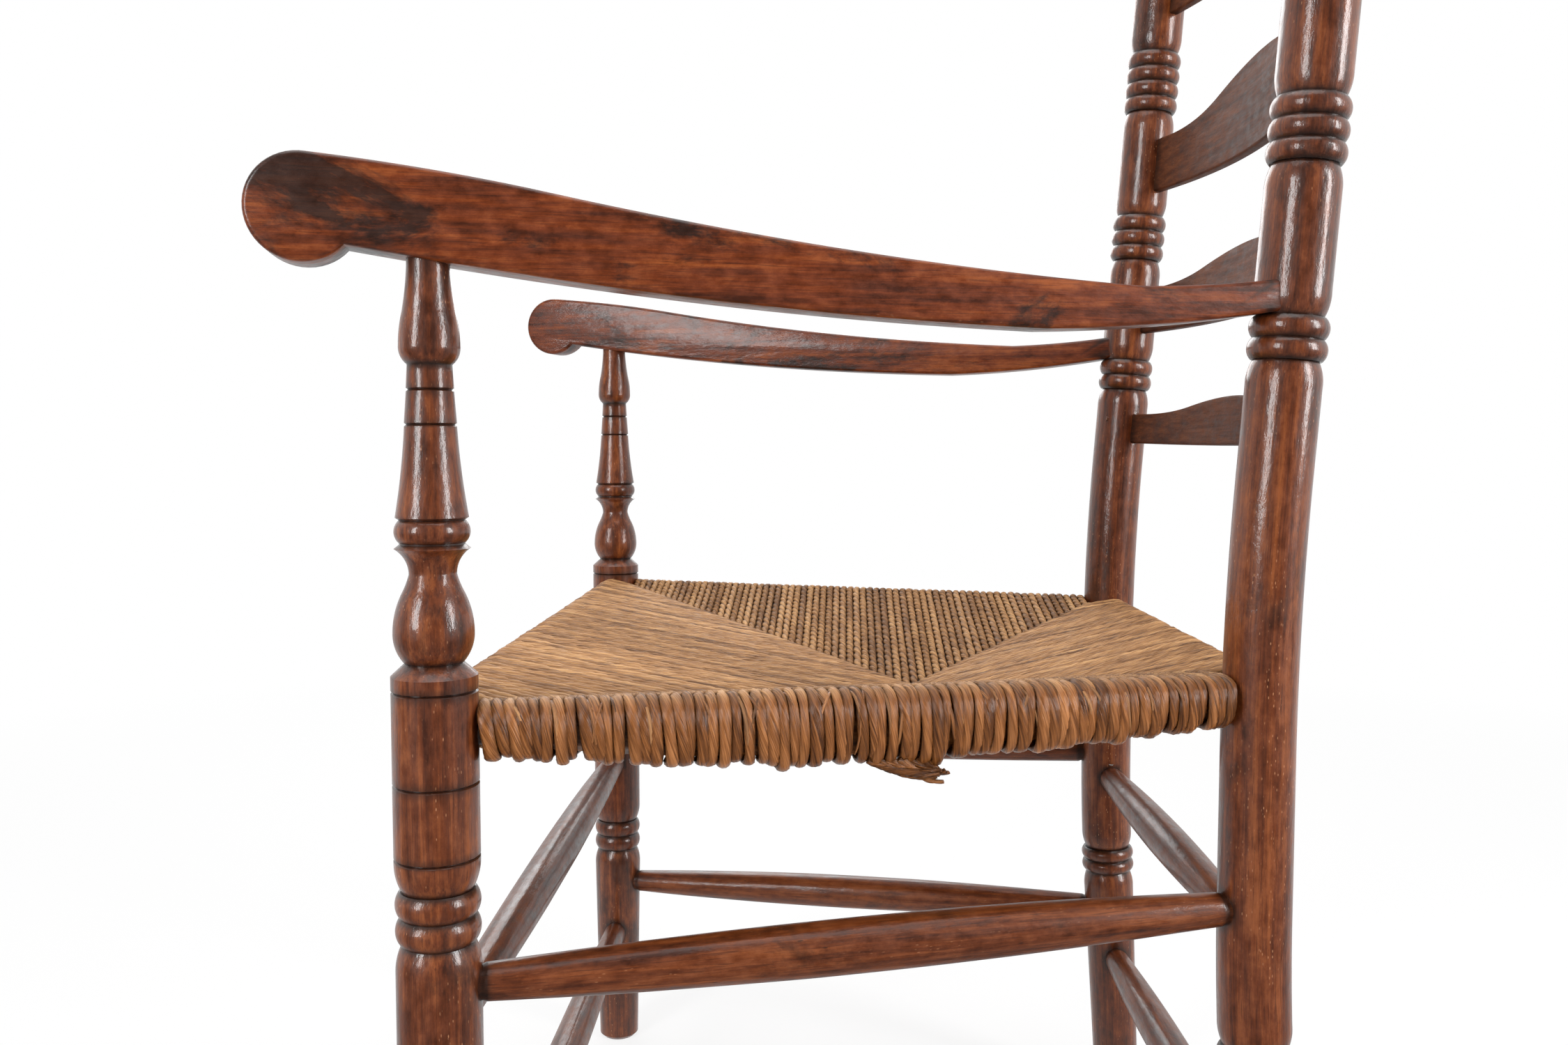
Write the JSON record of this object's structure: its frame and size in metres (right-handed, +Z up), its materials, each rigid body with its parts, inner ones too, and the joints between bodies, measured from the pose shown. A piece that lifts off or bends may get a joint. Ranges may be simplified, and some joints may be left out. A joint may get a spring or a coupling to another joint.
{
  "type": "ladderback armchair",
  "caption": "Tall wooden armchair with turned posts, bowed back slats, scrolled arms, turned stretchers and a woven rush seat.",
  "frame": {"origin": "on the floor under the middle of the whole chair's box", "axes": "+Z up, -Y towards the front of the chair, X across it, +X on the sitter's left"},
  "size_m": [0.6314, 0.5954, 1.1456],
  "materials": {
    "post_wood": "red-brown stained beech, worn gloss",
    "slat_wood": "brown stained beech, satin",
    "arm_wood": "orange-brown stained beech, hand-worn",
    "stretcher_wood": "brown stained beech, satin",
    "rail_wood": "bare beech under the rush",
    "rush": "dry twisted rush",
    "peg_wood": "dark end grain",
    "nail_steel": "aged"
  },
  "bodies": {
    "root": {"front_post_left": "post_wood", "front_post_right": "post_wood", "back_post_left": "post_wood", "back_post_right": "post_wood", "slat_1": "slat_wood", "slat_2": "slat_wood", "slat_3": "slat_wood", "slat_4": "slat_wood", "slat_5": "slat_wood", "arm_left": "arm_wood", "arm_right": "arm_wood", "front_upper_stretcher": "stretcher_wood", "front_lower_stretcher": "stretcher_wood", "back_upper_stretcher": "stretcher_wood", "back_lower_stretcher": "stretcher_wood", "left_upper_stretcher": "stretcher_wood", "left_lower_stretcher": "stretcher_wood", "right_upper_stretcher": "stretcher_wood", "right_lower_stretcher": "stretcher_wood", "front_seat_rail": "rail_wood", "back_seat_rail": "rail_wood", "left_seat_rail": "rail_wood", "right_seat_rail": "rail_wood", "rush_seat": "rush", "slat_pegs": "peg_wood", "stretcher_nail": "nail_steel"}
  },
  "joints": []
}
